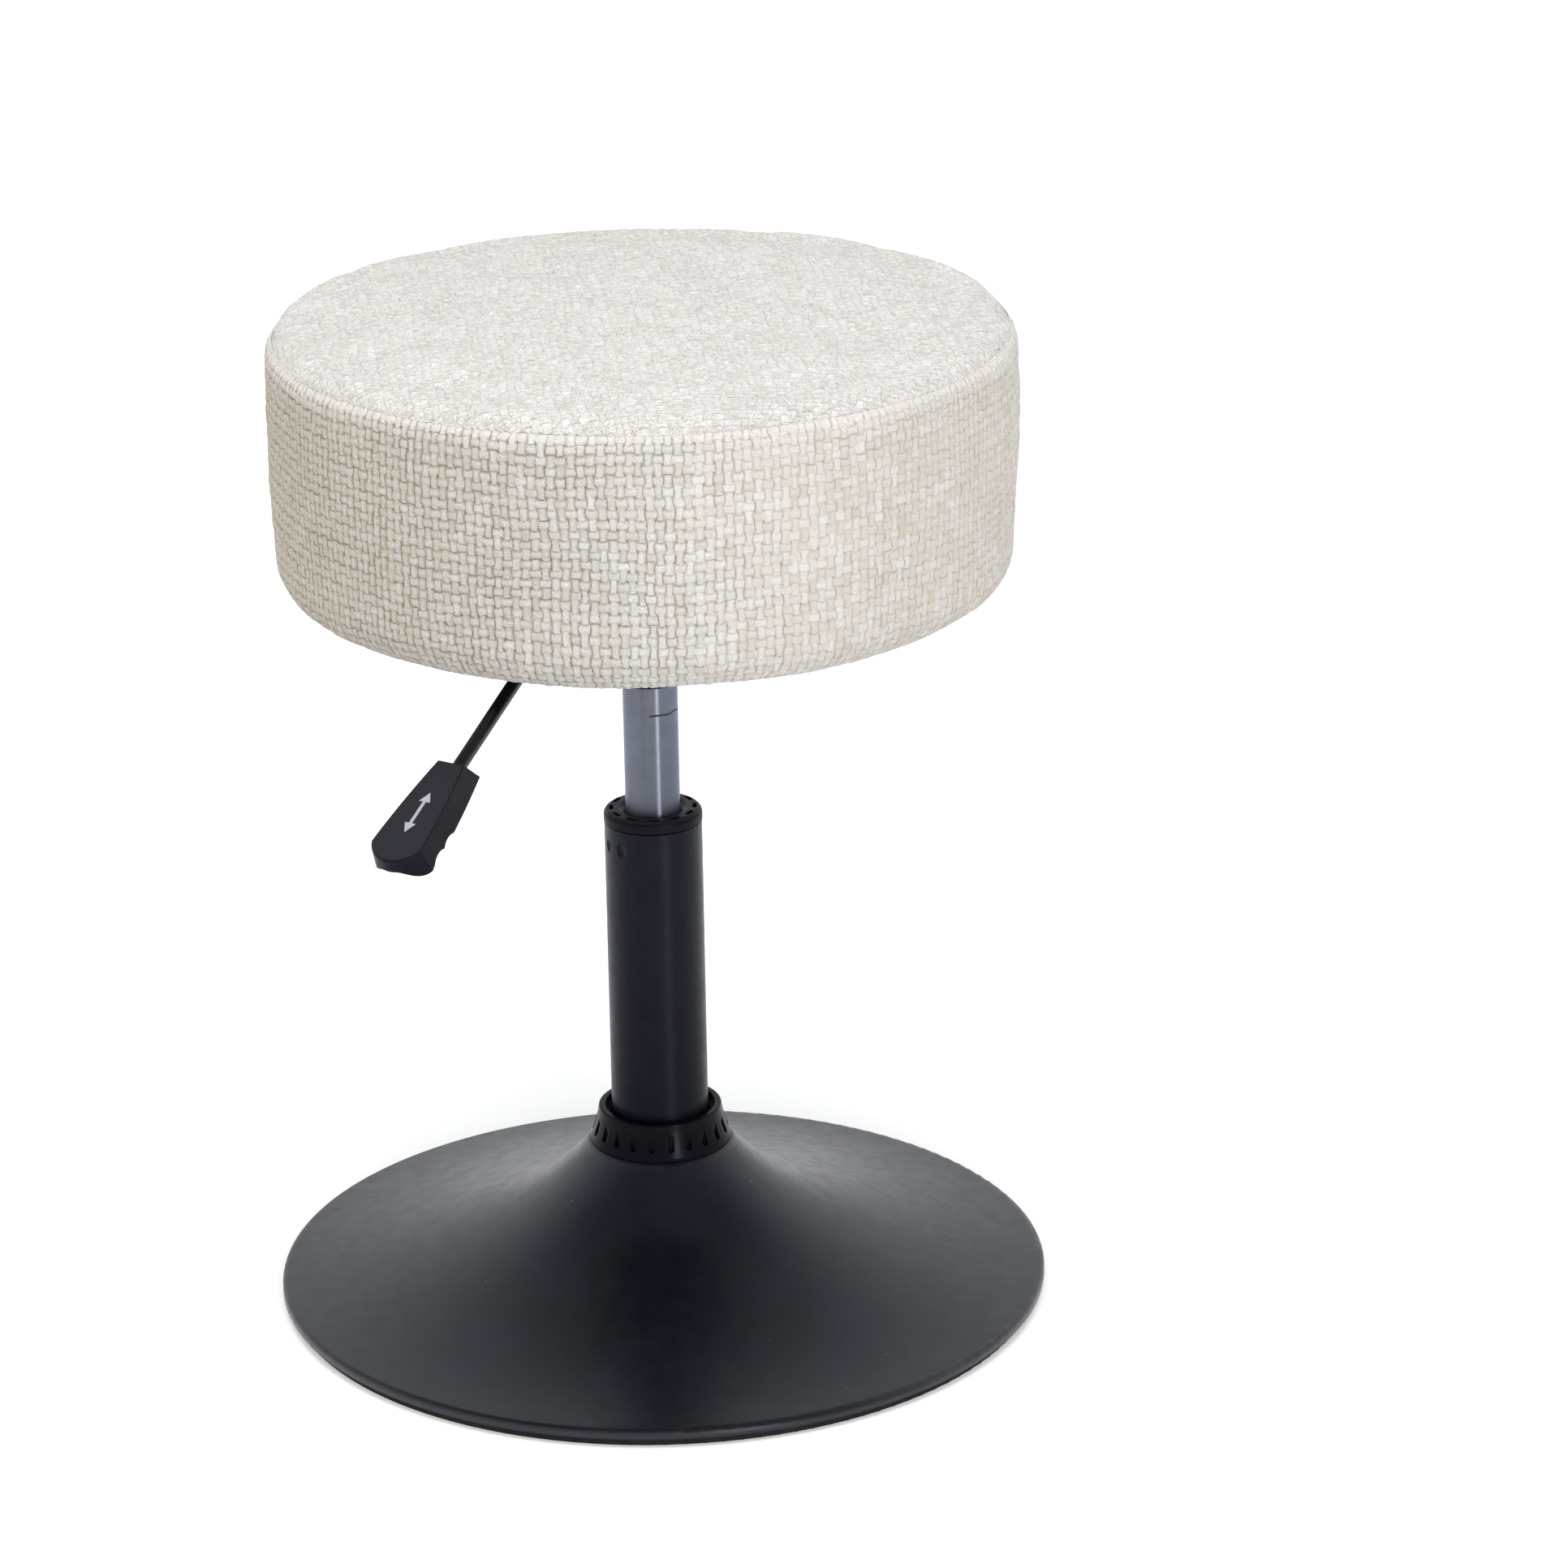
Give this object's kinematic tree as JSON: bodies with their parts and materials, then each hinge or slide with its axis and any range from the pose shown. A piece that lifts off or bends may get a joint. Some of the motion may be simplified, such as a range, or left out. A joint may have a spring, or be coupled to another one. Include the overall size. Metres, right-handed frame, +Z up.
{
  "type": "swivel vanity stool",
  "caption": "Round upholstered swivel stool on a gas lift, with a release lever under the seat and a black trumpet base.",
  "frame": {"origin": "on the floor under the column's axis, which is the centre of the base", "axes": "+Z up along the column; -Y is the side that the picture looks at; the lever points to 237 degrees from +X, seen from above"},
  "size_m": [0.3994, 0.3994, 0.5276],
  "materials": {
    "upholstery": "slubby woven chenille",
    "foam": "open-cell foam",
    "dust_cloth": "thin felted cloth",
    "board": "bare plywood",
    "base_paint": "fine-grained matte black powder coat",
    "tube_paint": "satin black powder coat",
    "lever_paint": "glossy black paint",
    "collar_plastic": "polished black moulding",
    "black_plastic": "fine-textured black moulding",
    "bright_steel": "satin ground steel",
    "plain_steel": "plain steel",
    "zinc_steel": "zinc plated",
    "black_rubber": "matte black rubber",
    "brass_valve": "plain"
  },
  "bodies": {
    "base": {"floor_ring": "black_rubber", "ballast_plate": "base_paint", "base_shell": "base_paint", "column_socket": "base_paint", "base_collar": "collar_plastic", "column_tube": "tube_paint", "guide_bush": "black_plastic", "column_end_plate": "plain_steel", "bearing_lower_washer": "plain_steel"},
    "bearing_row": {"bearing_cage": "brass_valve", "bearing_balls": "bright_steel"},
    "swivel": {"bearing_upper_washer": "plain_steel", "piston_rod": "bright_steel", "rod_washer": "zinc_steel", "rod_clip": "plain_steel", "rubber_bumper": "black_rubber", "piston": "plain_steel", "piston_seal": "black_rubber"},
    "seat": {"gas_cylinder": "bright_steel", "rod_guide": "black_plastic", "rod_seal": "black_rubber", "valve_body": "brass_valve", "seat_plate": "tube_paint", "plate_hub": "tube_paint", "lever_bracket": "tube_paint", "pivot_pin": "zinc_steel", "cover_top": "upholstery", "cover_band": "upholstery", "seat_foam": "foam", "seat_board": "board", "dust_cover": "dust_cloth", "seat_bolts": "zinc_steel", "bolt_washers": "zinc_steel", "tee_nuts": "zinc_steel"},
    "lever": {"lever_rod": "lever_paint", "lever_handle": "black_plastic"},
    "button": {"release_button": "plain_steel"}
  },
  "joints": [
    {"name": "seat_swivel", "type": "hinge", "parent": "base", "child": "swivel", "pos_m": [0, 0, 0.0356], "axis": [0, 0, 1], "continuous": true},
    {"name": "bearing_roll", "type": "hinge", "parent": "base", "child": "bearing_row", "pos_m": [0, 0, 0.0356], "axis": [0, 0, 1], "continuous": true},
    {"name": "seat_lift", "type": "slide", "parent": "swivel", "child": "seat", "axis": [0, 0, 1], "range_m": [-0.06, 0.06]},
    {"name": "lever_lift", "type": "hinge", "parent": "seat", "child": "lever", "pos_m": [-0.02179, -0.03355, 0.375], "axis": [-0.8387, 0.5446, 0], "range_deg": [0, 4.3], "stiffness_Nm_per_rad": 20, "springref_deg": -5.73},
    {"name": "button_press", "type": "slide", "parent": "seat", "child": "button", "axis": [0, 0, -1], "range_m": [0, 0.0031]}
  ],
  "couplings": [
    {"joint": "bearing_roll", "follows": "seat_swivel", "ratio": 0.5},
    {"joint": "button_press", "follows": "lever_lift", "m_per_rad": 0.04}
  ]
}
